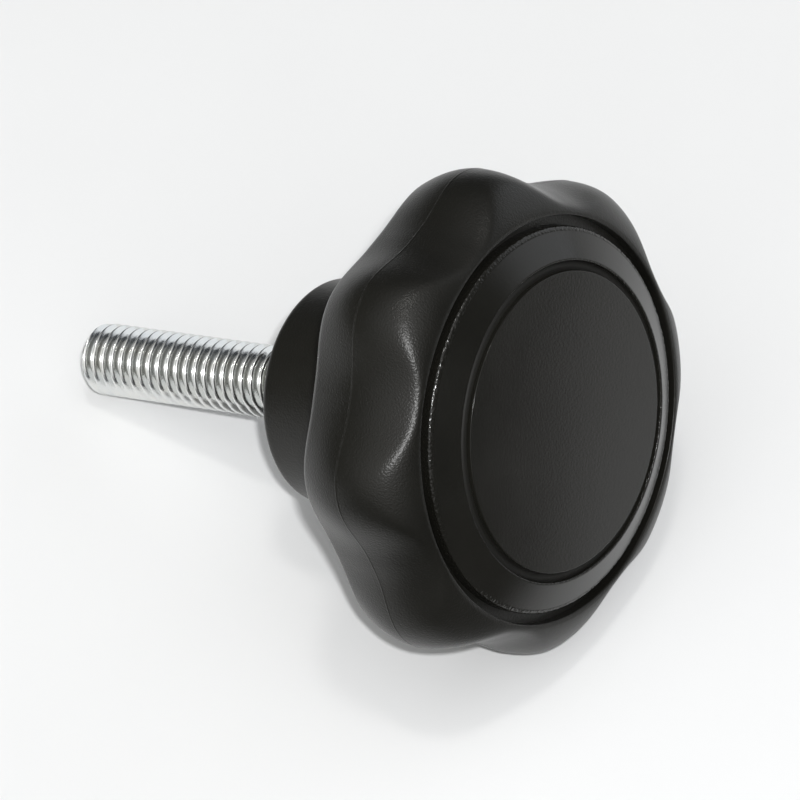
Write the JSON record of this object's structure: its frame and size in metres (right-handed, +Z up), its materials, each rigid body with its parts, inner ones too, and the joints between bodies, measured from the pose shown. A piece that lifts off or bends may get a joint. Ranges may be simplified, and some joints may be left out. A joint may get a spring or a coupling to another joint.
{
  "type": "star knob",
  "caption": "Star knob with soft lobes, a domed front, a cover cap with two ring grooves and a threaded stud out of its round hub, for clamping by hand.",
  "frame": {"origin": "on the surface the knob lies on, under the middle of its bounding box", "axes": "+X level, from the stud's tip towards the side that the cover cap faces, +Z up, and the knob's own axis lies in the XZ plane, with the cap raised"},
  "size_m": [0.051, 0.0384, 0.0367],
  "materials": {
    "body_plastic": "black, satin, fine spark-eroded grain",
    "cap_plastic": "black, satin, fine spark-eroded grain",
    "zinc_steel": "bright zinc plate on a rolled thread"
  },
  "bodies": {
    "root": {"knob_body": "body_plastic", "cover_cap": "cap_plastic", "threaded_stud": "zinc_steel"}
  },
  "joints": []
}
